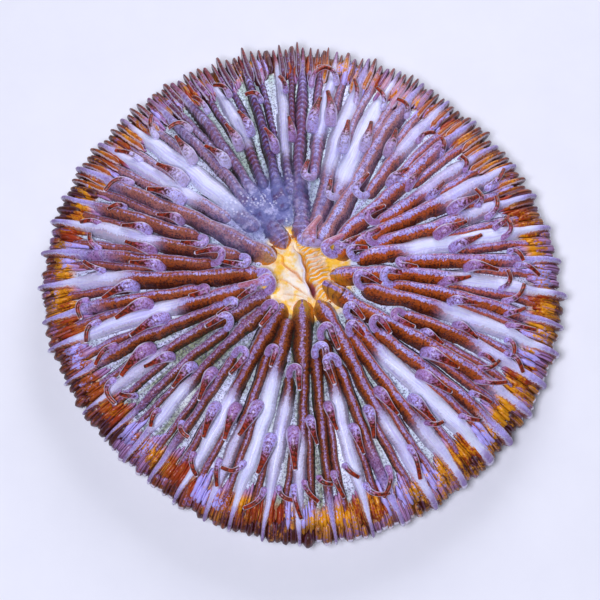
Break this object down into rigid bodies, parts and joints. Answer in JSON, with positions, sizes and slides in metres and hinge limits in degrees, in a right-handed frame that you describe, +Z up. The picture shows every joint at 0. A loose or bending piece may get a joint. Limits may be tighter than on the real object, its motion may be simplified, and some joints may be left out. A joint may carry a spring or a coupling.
{
  "type": "mushroom coral",
  "caption": "Round domed mushroom coral with radial ridges, a slit mouth at the crown, short tentacles that lean outwards and a toothed rim; lies on the flat scar of its underside.",
  "frame": {"origin": "middle of the flat scar on the underside, on which the disc lies", "axes": "+Z up through the mouth, -Y towards the viewer of the picture, +X to the viewer's right"},
  "size_m": [0.0828, 0.0828, 0.0166],
  "materials": {
    "coral": "wet living tissue over stone: lavender ridges with rust flanks, pale stripes, a golden mouth and rim"
  },
  "bodies": {
    "root": {"coral": "coral"}
  },
  "joints": []
}
